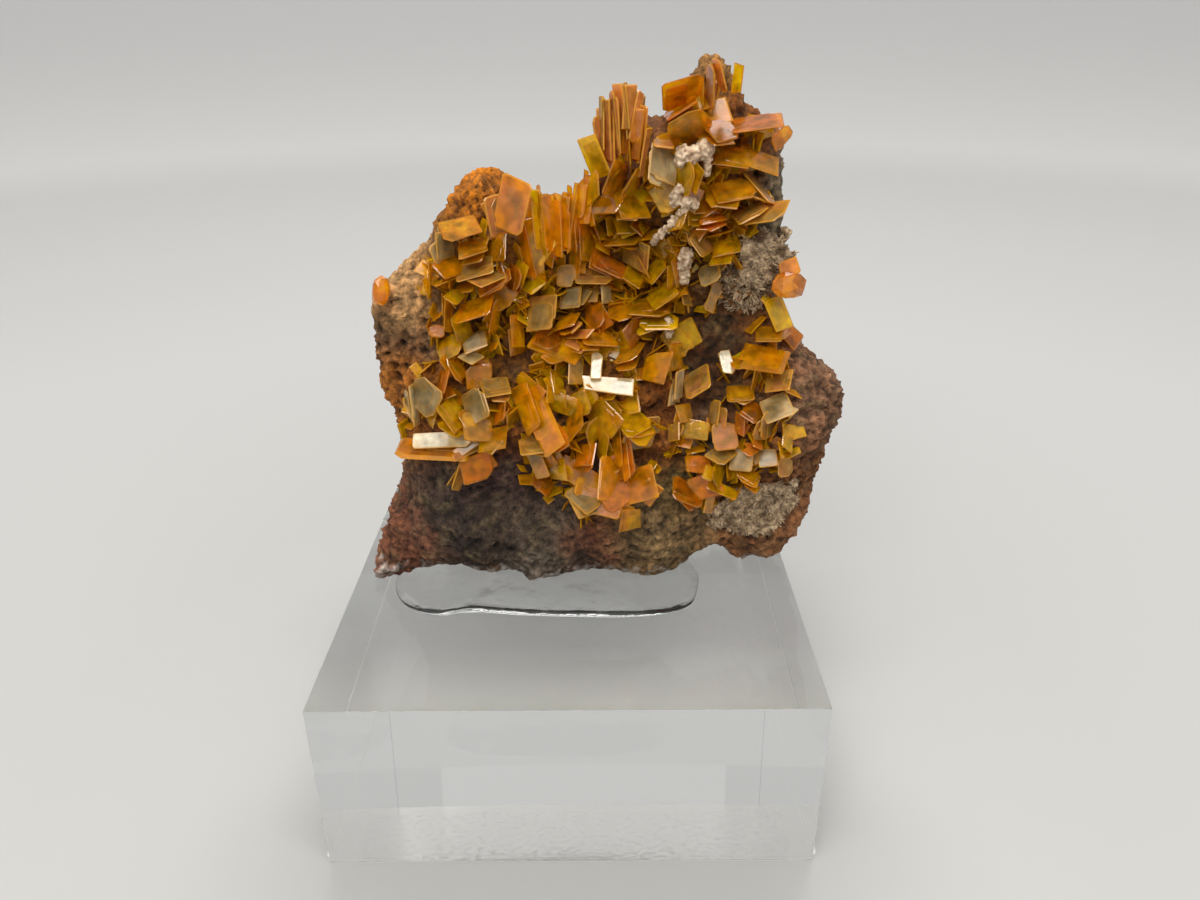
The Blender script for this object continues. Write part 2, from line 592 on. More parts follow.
def grain_group():
    """Fine mineral grain, used on all bare rock: dark and light specks and a height for bump."""
    group = bpy.data.node_groups.new("mineral_grain", "ShaderNodeTree")
    face = group.interface
    face.new_socket("Vector", in_out="INPUT", socket_type="NodeSocketVector")
    face.new_socket("Colour", in_out="INPUT", socket_type="NodeSocketColor")
    face.new_socket("Grain Scale", in_out="INPUT", socket_type="NodeSocketFloat")
    face.new_socket("Speck Scale", in_out="INPUT", socket_type="NodeSocketFloat")
    face.new_socket("Contrast", in_out="INPUT", socket_type="NodeSocketFloat")
    face.new_socket("Colour", in_out="OUTPUT", socket_type="NodeSocketColor")
    face.new_socket("Height", in_out="OUTPUT", socket_type="NodeSocketFloat")
    face.new_socket("Speck", in_out="OUTPUT", socket_type="NodeSocketFloat")
    nodes, links = group.nodes, group.links
    inlet = nodes.new("NodeGroupInput")
    outlet = nodes.new("NodeGroupOutput")
    grain = nodes.new("ShaderNodeTexNoise")
    grain.inputs["Detail"].default_value = 7.0
    grain.inputs["Roughness"].default_value = 0.68
    speck = nodes.new("ShaderNodeTexVoronoi")
    speck.inputs["Randomness"].default_value = 1.0
    spread = nodes.new("ShaderNodeMapRange")
    spread.inputs["From Min"].default_value = 0.3
    spread.inputs["From Max"].default_value = 0.7
    spread.inputs["To Min"].default_value = -1.0
    spread.inputs["To Max"].default_value = 1.0
    strength = nodes.new("ShaderNodeMath")
    strength.operation = "MULTIPLY"
    lift = nodes.new("ShaderNodeMath")
    lift.operation = "ADD"
    lift.inputs[1].default_value = 1.0
    tinted = nodes.new("ShaderNodeVectorMath")
    tinted.operation = "SCALE"
    spot = nodes.new("ShaderNodeMapRange")
    spot.inputs["From Min"].default_value = 0.22
    spot.inputs["From Max"].default_value = 0.08
    height = nodes.new("ShaderNodeMath")
    height.operation = "MULTIPLY_ADD"
    height.inputs[1].default_value = -0.35
    links.new(inlet.outputs["Vector"], grain.inputs["Vector"])
    links.new(inlet.outputs["Vector"], speck.inputs["Vector"])
    links.new(inlet.outputs["Grain Scale"], grain.inputs["Scale"])
    links.new(inlet.outputs["Speck Scale"], speck.inputs["Scale"])
    links.new(grain.outputs["Fac"], spread.inputs["Value"])
    links.new(spread.outputs["Result"], strength.inputs[0])
    links.new(inlet.outputs["Contrast"], strength.inputs[1])
    links.new(strength.outputs[0], lift.inputs[0])
    links.new(inlet.outputs["Colour"], tinted.inputs[0])
    links.new(lift.outputs[0], tinted.inputs["Scale"])
    links.new(speck.outputs["Distance"], spot.inputs["Value"])
    links.new(spot.outputs["Result"], height.inputs[0])
    links.new(grain.outputs["Fac"], height.inputs[2])
    links.new(tinted.outputs[0], outlet.inputs["Colour"])
    links.new(height.outputs[0], outlet.inputs["Height"])
    links.new(spot.outputs["Result"], outlet.inputs["Speck"])
    return group


mineral_grain = grain_group()


def stony_material(name, paint_name, grain_size, speck_size, contrast, bump_mm, roughness, pores=None):
    """Matt rock: painted colour broken up by grain, with small glinting specks."""
    material, tree, shader = plain_material(name)
    where = tree.nodes.new("ShaderNodeTexCoord")
    paint = tree.nodes.new("ShaderNodeAttribute")
    paint.attribute_name = paint_name
    grain = tree.nodes.new("ShaderNodeGroup")
    grain.node_tree = mineral_grain
    grain.inputs["Grain Scale"].default_value = 1.0 / (grain_size * MM)
    grain.inputs["Speck Scale"].default_value = 1.0 / (speck_size * MM)
    grain.inputs["Contrast"].default_value = contrast
    bump = tree.nodes.new("ShaderNodeBump")
    bump.inputs["Strength"].default_value = 0.9
    bump.inputs["Distance"].default_value = bump_mm * MM
    gloss = tree.nodes.new("ShaderNodeMapRange")
    gloss.inputs["To Min"].default_value = roughness
    gloss.inputs["To Max"].default_value = 0.35
    tree.links.new(where.outputs["Object"], grain.inputs["Vector"])
    tree.links.new(paint.outputs["Color"], grain.inputs["Colour"])
    tree.links.new(grain.outputs["Colour"], shader.inputs["Base Color"])
    if pores:
        porous = tree.nodes.new("ShaderNodeAttribute")
        porous.attribute_name = pores
        share = tree.nodes.new("ShaderNodeMapRange")
        share.inputs["To Min"].default_value = 0.4
        share.inputs["To Max"].default_value = 1.1
        relief = tree.nodes.new("ShaderNodeMath")
        relief.operation = "MULTIPLY"
        tree.links.new(porous.outputs["Fac"], share.inputs["Value"])
        tree.links.new(share.outputs["Result"], relief.inputs[0])
        tree.links.new(grain.outputs["Height"], relief.inputs[1])
        tree.links.new(relief.outputs[0], bump.inputs["Height"])
    else:
        tree.links.new(grain.outputs["Height"], bump.inputs["Height"])
    tree.links.new(grain.outputs["Speck"], gloss.inputs["Value"])
    tree.links.new(gloss.outputs["Result"], shader.inputs["Roughness"])
    tree.links.new(bump.outputs["Normal"], shader.inputs["Normal"])
    shader.inputs["Specular IOR Level"].default_value = 0.35
    return material


cad_skin = BVHTree.FromObject(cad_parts["matrix_rock"], bpy.context.evaluated_depsgraph_get())
rusty_rock = stony_material("rusty_rock", "rock_colour", 0.8, 0.55, 0.95, 0.8, 0.9, "rock_pores")
rock = new_object("rusty_rock", merged_copy("matrix_rock"))
even = rock.modifiers.new("even_skin", "REMESH")
even.mode = "VOXEL"
even.voxel_size = ROCK_VOXEL * MM
worn = rock.modifiers.new("worn", "SMOOTH")
worn.factor = 0.5
worn.iterations = CHIP_SMOOTHING
baked(rock)
weathered_skin(rock.data)
rock.data.materials.clear()
rock.data.materials.append(rusty_rock)
rock.data.polygons.foreach_set("use_smooth", [True] * len(rock.data.polygons))
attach(rock, "root")
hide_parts("matrix_rock")
rock_skin = BVHTree.FromObject(rock, bpy.context.evaluated_depsgraph_get())

# Wulfenite: thin square tablets with cut corners, standing on edge in sheaves all over the front of
# the rock. They are translucent, from clear yellow through amber and orange to frosted tan and grey.
# Each patch is one piece: its large crystals, the thinner ones grown beside them, and small ones.
TABLET_THICKNESS = 0.42
STAND_OFF = 1.8
REACH = 0.33
RIM_WIDTH = 0.14
MEDIUM_TRIES = 3
MEDIUM_APART = 2.3
SHEAF_SCALE = 170.0
# Tone along the colour run, how frosted, and how thick in mm
CRYSTAL_TONES = {
    "umber": (0.00, 0.16, 0.26), "olive": (0.14, 0.13, 0.18), "yellow": (0.28, 0.08, 0.2),
    "gold": (0.30, 0.10, 0.3), "amber": (0.42, 0.10, 0.2), "blade": (0.46, 0.10, 0.2),
    "thick": (0.42, 0.12, 1.1), "drop": (0.50, 0.10, 2.2), "flame": (0.55, 0.12, 0.3),
    "orange": (0.56, 0.14, 0.26), "slab": (0.57, 0.14, 0.8), "lump": (0.62, 0.12, 3.0),
    "peach": (0.65, 0.20, 0.3), "rib": (0.67, 0.24, 0.28), "pink": (0.69, 0.26, 0.3),
    "tan": (0.78, 0.24, 0.22), "grey": (0.86, 0.30, 0.22), "cream": (0.93, 0.28, 0.26),
    "glint": (1.00, 0.10, 0.2),
}
TONE_RUN = [
    (0.00, (214, 126, 12)), (0.14, (240, 176, 24)), (0.28, (255, 208, 10)), (0.42, (255, 180, 6)),
    (0.56, (255, 158, 12)), (0.69, (238, 154, 84)), (0.78, (212, 156, 62)), (0.86, (176, 148, 92)),
    (0.93, (236, 202, 142)), (1.00, (255, 240, 196)),
]
ROUND_CRYSTALS = ("drop", "lump")
FROSTED_CRYSTALS = ("tan", "pink", "grey", "cream", "glint", "rib", "slab", "peach", "gold", "flame")
SINGLE_CRYSTALS = ("rib", "glint", "blade", "slab")
GLINT_STAND_OFF = 1.2
# Runs of narrow upright blades, side by side: the run of their tops as x, z points, how many, how
# long, how wide, how far they fan out in degrees, and their tones
BLADE_RUNS = {
    "wulfenite_fan": ([(4.2, 92.8), (5.4, 92.2), (6.9, 93.9), (8.3, 93.2), (9.4, 92.2)], 22,
                      (4.4, 7.0), (0.8, 2.4), 11.0, ("rib", "pink", "tan", "rib", "peach")),
    "wulfenite_hollow_crust": ([(-5.0, 79.6), (-3.6, 81.2), (-2.4, 82.0), (0.3, 82.2), (1.8, 83.2),
                                (3.4, 84.6)], 28, (4.0, 8.4), (0.7, 2.5), 5.0,
                               ("blade", "amber", "gold", "blade", "orange", "yellow")),
}
# Where the rock stays bare among the crystals: x, z and reach
BARE_ROCK = [
    (-22.0, 69.0, 5.5), (-22.0, 63.0, 4.5), (-10.6, 82.5, 4.6), (-22.5, 56.0, 3.4), (-9.4, 49.4, 3.6),
    (11.4, 54.6, 3.2), (18.4, 61.0, 3.6), (18.0, 54.0, 2.6), (19.8, 91.4, 2.8), (17.8, 95.2, 3.2),
    (25.8, 77.0, 3.0), (10.8, 47.4, 3.0), (24.2, 72.8, 3.0), (25.8, 83.6, 2.8), (22.6, 69.2, 3.6),
    (20.2, 88.6, 1.8),
]
# Each patch: its bed on the rock (x, z, half width, half height), how many small crystals per square
# mm, and its large crystals as x, z, width, height, facing, lean, spin in mm and degrees, and tone
PATCHES = {
    "wulfenite_peak": ((18.0, 85.0, 8.6, 9.0), 0.45, [
        (13.5, 92.5, 5.0, 5.0, 20, -45, 20, "amber"), (13.5, 90.8, 5.7, 4.0, -90, 60, 0, "orange"),
        (14.3, 89.0, 5.0, 5.0, 20, -40, -40, "olive"), (16.8, 93.2, 4.8, 3.0, -80, -5, 75, "pink"),
        (22.3, 89.3, 6.5, 4.5, -35, 75, 30, "orange"), (19.8, 94.0, 1.8, 3.0, -55, 0, -5, "yellow"),
        (11.5, 85.0, 4.2, 4.2, 40, 25, -25, "cream"), (11.5, 87.3, 2.4, 2.4, 25, 75, -25, "pink"),
        (19.5, 85.6, 4.0, 3.6, 10, 60, -15, "olive"), (19.9, 82.0, 4.5, 4.2, -15, 65, 25, "olive"),
        (23.0, 82.0, 5.2, 2.4, 75, 50, 65, "tan"), (22.0, 79.4, 5.6, 4.0, -80, 65, -5, "tan"),
        (17.4, 78.6, 3.4, 3.0, -75, 80, -10, "orange"), (25.8, 87.5, 3.0, 2.4, 35, -10, 40, "orange"),
        (16.5, 85.3, 4.0, 1.8, 0, 35, 25, "tan"), (15.2, 81.0, 3.0, 2.0, 15, 20, 60, "tan"),
    ]),
    "wulfenite_fan": ((5.8, 84.0, 3.6, 5.4), 0.4, [
        (3.6, 85.6, 3.4, 4.8, -45, -12, 20, "gold"), (6.1, 83.1, 5.2, 4.2, 60, -20, -15, "olive"),
        (8.0, 82.5, 4.6, 3.6, 65, -25, -25, "olive"), (3.2, 82.0, 4.4, 3.0, -65, 5, 30, "yellow"),
    ]),
    "wulfenite_hollow_crust": ((3.0, 69.5, 10.8, 8.8), 0.5, [
        (-2.4, 74.2, 4.6, 3.2, -50, 0, 70, "amber"),
        (2.6, 74.6, 4.4, 3.0, 55, 10, 80, "amber"), (7.0, 75.2, 4.4, 3.2, -60, 80, 45, "olive"),
        (-0.1, 70.4, 2.8, 2.8, -20, 20, 5, "tan"), (3.4, 70.4, 4.6, 2.8, 0, 60, 0, "tan"),
        (0.4, 67.8, 3.0, 3.0, -30, 40, 15, "grey"), (3.0, 67.8, 2.0, 2.0, 0, 40, -5, "tan"),
        (5.0, 67.8, 1.8, 2.4, 45, 15, -10, "cream"), (-4.4, 69.8, 4.2, 2.8, -50, 60, -10, "gold"),
        (-3.2, 66.4, 4.4, 4.6, -35, 30, 15, "tan"), (0.0, 65.0, 3.4, 3.2, -70, 65, -40, "amber"),
        (0.8, 64.2, 5.6, 2.0, -95, 50, 20, "pink"), (1.0, 62.4, 2.4, 2.2, -5, 65, -30, "pink"),
        (3.9, 62.9, 4.6, 3.6, 40, 70, -25, "amber"), (10.6, 66.6, 4.8, 4.0, -5, 80, -5, "olive"),
        (11.6, 65.0, 5.0, 3.6, -20, 70, 10, "gold"), (8.0, 61.2, 4.4, 3.4, -75, 65, -40, "olive"),
        (8.6, 70.6, 4.0, 2.6, 50, 55, 30, "yellow"), (11.2, 71.4, 3.6, 2.4, -40, 40, 70, "yellow"),
        (-6.4, 64.2, 4.2, 2.8, 60, 10, 75, "amber"), (-3.8, 72.0, 2.2, 5.0, 42, 5, 8, "amber"),
        (1.0, 72.2, 2.0, 4.4, -40, 8, -4, "olive"),
    ]),
    "wulfenite_left_shoulder": ((-12.8, 69.5, 6.4, 8.8), 0.4, [
        (-11.2, 75.2, 5.0, 3.6, -40, 75, -40, "olive"), (-11.2, 72.6, 4.8, 3.6, -30, 60, 30, "tan"),
        (-14.6, 75.4, 3.4, 3.2, 60, 5, -5, "grey"), (-16.8, 71.2, 1.6, 4.4, 90, 0, -20, "yellow"),
        (-13.6, 69.4, 3.4, 2.0, 70, 55, 10, "yellow"), (-11.4, 67.8, 4.8, 4.0, -45, 60, 40, "amber"),
        (-14.6, 67.1, 2.2, 4.2, 70, 0, -15, "olive"), (-16.4, 64.6, 2.0, 2.0, 0, 50, -5, "orange"),
        (-11.8, 63.2, 4.2, 3.2, -50, 65, -30, "cream"), (-9.0, 66.2, 4.6, 2.0, 60, -5, 75, "amber"),
        (-6.2, 80.2, 4.2, 6.4, -28, 8, -12, "peach"),
        (-8.0, 78.6, 3.4, 5.0, 36, 4, 8, "pink"), (-23.2, 69.6, 2.2, 3.8, 20, 0, -12, "drop"),
    ]),
    "wulfenite_lower_left": ((-14.4, 53.2, 7.8, 7.4), 0.3, [
        (-18.2, 56.6, 5.2, 4.4, -35, 15, -25, "grey"), (-19.8, 55.2, 2.4, 5.4, 85, 5, -10, "cream"),
        (-17.4, 51.2, 7.6, 2.2, -3, 47, 4, "glint"), (-17.6, 49.2, 9.8, 3.6, 4, 68, -8, "slab"),
        (-11.8, 55.6, 4.4, 4.4, -45, 15, 40, "grey"), (-9.6, 51.6, 3.6, 3.4, -30, 55, 25, "olive"),
        (-9.2, 57.6, 3.6, 3.4, 5, 70, 10, "tan"), (-14.4, 45.8, 2.2, 4.2, 60, -5, -30, "tan"),
        (-12.4, 50.6, 5.4, 1.4, 0, 30, 35, "tan"),
    ]),
    "wulfenite_lower_spray": ((2.2, 50.8, 9.4, 11.0), 0.4, [
        (-4.4, 48.2, 2.2, 5.4, -25, 5, 25, "tan"), (-2.8, 48.8, 2.2, 3.2, -40, -10, 35, "olive"),
        (-3.4, 53.6, 9.6, 3.4, -28, 34, -48, "slab"),
        (-5.4, 55.0, 7.0, 3.0, -40, 20, -50, "amber"), (-1.6, 51.4, 4.0, 3.0, -20, 40, -40, "orange"), (-1.4, 62.0, 6.6, 3.4, 15, 55, -30, "amber"),
        (5.2, 57.7, 5.8, 2.2, 0, 47, -8, "glint"),
        (3.6, 59.7, 1.5, 4.4, 0, 47, -5, "glint"), (1.0, 59.0, 2.4, 3.4, 40, 20, -20, "tan"),
        (4.6, 53.4, 5.2, 4.0, -38, 12, -32, "olive"), (3.2, 51.6, 2.8, 3.2, 50, 0, 20, "yellow"),
        (4.5, 49.6, 2.2, 4.8, -60, 0, -10, "yellow"), (6.2, 50.4, 2.0, 7.6, -50, 5, 15, "amber"),
        (9.0, 44.0, 5.8, 4.6, -38, 30, 32, "flame"), (5.6, 45.0, 4.6, 5.8, 44, 18, -24, "flame"),
        (4.2, 42.2, 6.0, 3.6, 6, 30, -18, "peach"), (1.4, 45.4, 6.4, 3.0, 12, 34, -38, "flame"),
        (7.0, 47.6, 3.4, 5.6, -34, 12, 18, "orange"), (6.4, 43.0, 5.6, 3.2, 24, 40, 22, "orange"),
        (8.1, 39.6, 3.2, 3.2, 25, 0, -5, "olive"), (10.8, 46.2, 2.0, 2.0, -70, 40, 5, "yellow"),
    ]),
    "wulfenite_right_pillar": ((14.0, 55.5, 3.6, 8.0), 0.35, [
        (14.4, 57.0, 2.4, 4.0, 60, 0, -5, "cream"), (15.2, 53.3, 2.4, 2.4, 40, 30, -5, "olive"),
        (13.8, 51.0, 2.2, 2.4, -60, 20, 30, "tan"), (14.0, 60.4, 3.0, 3.4, 50, 5, -10, "olive"),
    ]),
    "wulfenite_right_lobe": ((24.0, 52.2, 5.6, 8.4), 0.25, [
        (20.6, 59.6, 1.8, 3.2, -4, 47, 10, "glint"), (25.2, 60.4, 5.8, 4.0, -15, 60, -5, "thick"),
        (27.2, 57.6, 3.6, 3.2, -50, 45, 25, "tan"), (26.8, 54.8, 4.4, 3.8, -50, 60, -35, "cream"),
        (22.6, 55.8, 3.6, 3.0, -15, 70, 10, "olive"), (20.6, 50.3, 3.6, 3.6, 10, 35, 0, "pink"),
        (22.8, 47.3, 3.2, 3.0, -35, 35, 10, "cream"), (26.0, 48.0, 2.6, 2.6, -10, 50, 10, "grey"),
        (28.6, 46.2, 2.6, 2.6, 35, 20, -10, "tan"), (22.4, 52.0, 2.0, 3.2, -60, 0, 0, "orange"),
        (19.2, 53.2, 2.0, 3.4, -60, 10, 5, "tan"), (24.6, 50.4, 4.0, 1.8, 60, 55, 30, "orange"),
        (28.4, 50.6, 3.0, 2.0, 50, 30, 45, "yellow"),
    ]),
    "wulfenite_lobe_foot": ((18.2, 43.4, 3.6, 4.2), 0.3, [
        (17.2, 46.3, 3.4, 2.8, 15, 60, -10, "orange"), (20.4, 43.0, 4.6, 1.8, 40, 45, -40, "yellow"),
        (19.0, 41.0, 1.6, 3.6, 30, 10, -20, "tan"),
    ]),
    "wulfenite_right_shoulder": ((16.8, 71.4, 4.6, 5.8), 0.35, [
        (16.6, 75.4, 3.6, 3.0, 50, 40, 10, "tan"), (19.6, 75.0, 3.4, 2.8, -30, 60, 25, "yellow"),
        (14.2, 72.0, 3.2, 4.2, 55, 5, 20, "olive"), (17.8, 71.4, 3.0, 2.8, -45, 30, 35, "grey"),
        (15.0, 68.4, 3.4, 2.2, 60, 30, 70, "tan"), (18.6, 68.0, 1.4, 4.0, 20, 20, -25, "tan"),
    ]),
    "wulfenite_right_edge": ((27.4, 66.4, 2.8, 4.6), 0.2, [
        (27.6, 70.3, 4.8, 3.6, 35, 0, -15, "lump"), (27.0, 66.0, 3.0, 4.4, 25, 30, 10, "gold"), (27.4, 72.4, 2.4, 2.2, -30, 30, 30, "peach"),
        (29.6, 62.0, 3.0, 2.6, 40, 35, 30, "umber"),
    ]),
}


def tablet_axes(facing, lean, spin):
    """A tablet's own axes: across, along and out of its face."""
    facing, lean, spin = (math.radians(angle) for angle in (facing, lean, spin))
    out = Vector((math.cos(lean) * math.sin(facing), -math.cos(lean) * math.cos(facing), math.sin(lean)))
    flat = Vector((math.cos(facing), math.sin(facing), 0.0))
    slope = out.cross(flat)
    across = flat * math.cos(spin) + slope * math.sin(spin)
    return across, out.cross(across), out


def add_tablet(bm, layers, place, axes, size, thickness, tone, frost, chance, frosted=False):
    """One crystal: a square with eight corners, bevelled to an edge all round."""
    across, along, out = axes
    width, height = size
    shorter = min(width, height)
    octagonal = chance.choice((0.02, 0.04, 0.07, 0.11, 0.2))
    uneven = 0.3 if tone > 0.99 else 0.07 if frosted else 0.13
    corners = []
    for sign_a, sign_b in ((1, 1), (-1, 1), (-1, -1), (1, -1)):
        cut = shorter * octagonal * chance.uniform(0.6, 1.4)
        if chance.random() < 0.1:
            cut = shorter * chance.uniform(0.2, 0.34)
        pull_a, pull_b = (1.0 + chance.uniform(-uneven, uneven) for _ in range(2))
        first = (sign_a * width / 2 * pull_a,
                 sign_b * (height / 2 * pull_b - cut * chance.uniform(0.7, 1.3)))
        second = (sign_a * (width / 2 * pull_a - cut * chance.uniform(0.7, 1.3)),
                  sign_b * height / 2 * pull_b)
        corners += [first, second] if sign_a * sign_b > 0 else [second, first]
    bevel = min(thickness * 0.5, shorter * 0.12)
    inner = min(RIM_WIDTH, shorter * 0.06) + bevel

    def ring(inset, depth, rim):
        verts = []
        for a, b in corners:
            a *= 1.0 - 2.0 * inset / width
            b *= 1.0 - 2.0 * inset / height
            vert = bm.verts.new((place + across * a + along * b + out * depth) * MM)
            vert[layers["tone"]] = tone
            vert[layers["frost"]] = frost
            vert[layers["rim"]] = rim
            verts.append(vert)
        return verts

    edge = ring(0.0, 0.0, 1.0)
    for sign in (1, -1):
        brink = ring(bevel, sign * thickness / 2, 0.6)
        flat = ring(inner, sign * thickness / 2, 0.0)
        for lower, upper in ((edge, brink), (brink, flat)):
            for index in range(8):
                after = (index + 1) % 8
                quad = (lower[index], lower[after], upper[after], upper[index])
                face = bm.faces.new(quad if sign > 0 else tuple(reversed(quad)))
                face.material_index = int(frosted)
        face = bm.faces.new(flat if sign > 0 else list(reversed(flat)))
        face.material_index = int(frosted)


def add_bead(bm, layers, place, axes, size, tone, frost):
    """A crystal with rounded corners, as thick as it is wide."""
    turn = Matrix((axes[0], axes[1], axes[2])).transposed().to_4x4()
    shape = (Matrix.Translation(place * MM) @ turn
             @ Matrix.Diagonal((size[0] * MM / 2, size[1] * MM / 2, size[2] * MM / 2, 1.0)))
    made = bmesh.ops.create_icosphere(bm, subdivisions=2, radius=1.0)["verts"]
    for vert in made:
        squared = max(abs(value) for value in vert.co)
        worn = 1.0 + 0.16 * noise.noise(vert.co * 1.3 + place)
        vert.co = shape @ (vert.co * (1.0 + 0.5 * (1.0 - squared)) * 0.96 * worn)
        vert[layers["tone"]] = tone
        vert[layers["frost"]] = frost
        vert[layers["rim"]] = 0.25


def crystal_layers(bm):
    return {name: bm.verts.layers.float.new(name) for name in ("tone", "frost", "rim")}


def rooted_place(x, z, width, height, out):
    """Where a tablet's middle is, so that it grows out of the rock behind it."""
    hit = cad_skin.ray_cast(Vector((x * MM, -0.06, z * MM)), Vector((0.0, 1.0, 0.0)))[0]
    face_y = hit.y / MM if hit else -4.0
    edge_on = math.sqrt(max(0.0, 1.0 - out.y * out.y))
    return Vector((x, face_y - STAND_OFF - REACH * min(width, height) * edge_on, z))


def blade_run(tops, count, lengths, widths, fanned, tones, chance):
    """Narrow upright blades, one beside the next, whose tops follow a jagged line."""
    rows = []
    for index in range(count):
        share = (index + chance.uniform(-0.3, 0.3)) / (count - 1)
        x = tops[0][0] + (tops[-1][0] - tops[0][0]) * share
        top = np.interp(x, [spot[0] for spot in tops], [spot[1] for spot in tops])
        top -= abs(chance.gauss(0.0, 0.6)) + (0.0 if index % 3 else chance.uniform(0.8, 2.6))
        length = chance.uniform(*lengths)
        spin = -fanned * (2.0 * share - 1.0) + chance.uniform(-7.0, 7.0)
        rows.append((x, float(top) - length / 2,
                     chance.uniform(*widths), length, chance.choice((-1, 1)) * chance.uniform(25, 70),
                     chance.uniform(-8.0, 6.0), spin, chance.choice(tones)))
    return rows


def large_crystals(rows, chance):
    """The patch's large crystals, the growth steps on their faces and thinner ones beside them."""
    bm = bmesh.new()
    layers = crystal_layers(bm)
    for x, z, width, height, facing, lean, spin, tone_name in rows:
        tone, frost, thickness = CRYSTAL_TONES[tone_name]
        axes = tablet_axes(facing, lean, spin)
        out = axes[2]
        place = rooted_place(x, z, width, height, out)
        if tone_name == "glint":
            place.y -= GLINT_STAND_OFF
        if tone_name in ROUND_CRYSTALS:
            add_bead(bm, layers, place, axes, (width, height, thickness), tone, frost)
            continue
        own_tone = tone - chance.uniform(0.0, 0.006) if tone_name == "glint" else tone + chance.uniform(-0.014, 0.014)
        frosted = tone_name in FROSTED_CRYSTALS
        add_tablet(bm, layers, place, axes, (width, height), thickness, own_tone, frost, chance,
                   frosted)
        if min(width, height) > 2.6 and thickness < 1.5:
            for _ in range(2):
                share = chance.uniform(0.45, 0.8)
                slide = (axes[0] * width * chance.uniform(-0.5, 0.5) * (1 - share)
                         + axes[1] * height * chance.uniform(-0.5, 0.5) * (1 - share))
                lift = out * (thickness / 2 * chance.uniform(0.75, 1.05))
                add_tablet(bm, layers, place + slide + lift, axes, (width * share, height * share),
                           0.12, own_tone + chance.uniform(-0.03, 0.03), frost, chance, frosted)
        if tone_name in SINGLE_CRYSTALS:
            continue
        for _ in range(chance.choice((1, 2, 2))):
            swung, tipped = facing + chance.uniform(-34, 34), lean + chance.uniform(-26, 26)
            turned = tablet_axes(swung, tipped, spin + chance.uniform(-30, 30))
            shift = (-out * chance.uniform(0.3, 1.0) + axes[0] * chance.uniform(-0.4, 0.4) * width
                     + axes[1] * chance.uniform(-0.4, 0.4) * height)
            share = chance.uniform(0.5, 0.9)
            if (mirrors_lamp(swung, tipped)
                    or not rock_behind(place.x + shift.x, place.z + shift.z, share * min(width, height) / 2)):
                continue
            add_tablet(bm, layers, place + shift, turned, (width * share, height * share),
                       chance.uniform(0.14, 0.28), tone + chance.uniform(-0.06, 0.06),
                       min(0.5, frost + chance.uniform(-0.05, 0.1)), chance, frosted)
    mesh = bpy.data.meshes.new("large_crystals")
    bm.to_mesh(mesh)
    bm.free()
    return mesh


def further_crystals(patch, rows, chance):
    """More crystals of the same kind, scattered between the placed ones of a patch."""
    x, z, half_width, half_height = patch
    kinds = ("amber", "olive", "yellow", "orange", "amber", "olive", "yellow", "umber", "tan")
    taken = [(row[0], row[1]) for row in rows]
    shining = [(row[0], row[1]) for row in rows if row[7] == "glint"]
    added = []
    for _ in range(int(MEDIUM_TRIES * half_width * half_height)):
        reach, angle = math.sqrt(chance.random()) * 0.92, chance.uniform(0, 2 * math.pi)
        here_x = x + half_width * reach * math.cos(angle)
        here_z = z + half_height * reach * math.sin(angle)
        row = (here_x, here_z, chance.uniform(2.8, 4.8), chance.uniform(2.6, 4.4),
               chance.uniform(-72, 72), chance.triangular(-20, 80, 45), chance.uniform(-45, 45),
               chance.choice(kinds))
        crowded = any(math.hypot(here_x - a, here_z - b) < MEDIUM_APART for a, b in taken)
        bare = any(math.hypot(here_x - a, here_z - b) < room for a, b, room in BARE_ROCK)
        bare = bare or any(math.hypot(here_x - a, here_z - b) < 4.2 for a, b in shining)
        if crowded or bare or mirrors_lamp(row[4], row[5]) or not rock_behind(here_x, here_z, 2.4):
            continue
        taken.append((here_x, here_z))
        added.append(row)
    return added


def mirrors_lamp(facing, lean):
    """Whether a plate turned this way throws the overhead or the front light at the viewer."""
    return abs(facing + 3) < 27 and 22 < lean < 56


def rock_behind(x, z, margin):
    """Whether the rock fills the view behind this place and a margin round it."""
    for over, up in ((margin, 0), (-margin, 0), (0, margin), (0, -margin)):
        start = Vector(((x + over) * MM, -0.06, (z + up) * MM))
        if cad_skin.ray_cast(start, Vector((0.0, 1.0, 0.0)))[0] is None:
            return False
    return True


def small_tablet():
    """The small crystal that is sown over a bed: 1 mm square, standing on its root at the origin."""
    bm = bmesh.new()
    layers = crystal_layers(bm)
    axes = (Vector((1.0, 0.0, 0.0)), Vector((0.0, 0.0, 1.0)), Vector((0.0, -1.0, 0.0)))
    add_tablet(bm, layers, Vector((0.0, 0.0, 0.36)), axes, (1.0, 1.0), 0.12, 0.0, 0.0,
               random.Random(4))
    bmesh.ops.scale(bm, vec=(1000.0,) * 3, verts=bm.verts)
    mesh = bpy.data.meshes.new("small_tablet")
    bm.to_mesh(mesh)
    bm.free()
    for given_later in ("tone", "frost"):
        mesh.attributes.remove(mesh.attributes[given_later])
    tablet = bpy.data.objects.new("small_tablet", mesh)
    bpy.context.scene.collection.objects.link(tablet)
    return tablet


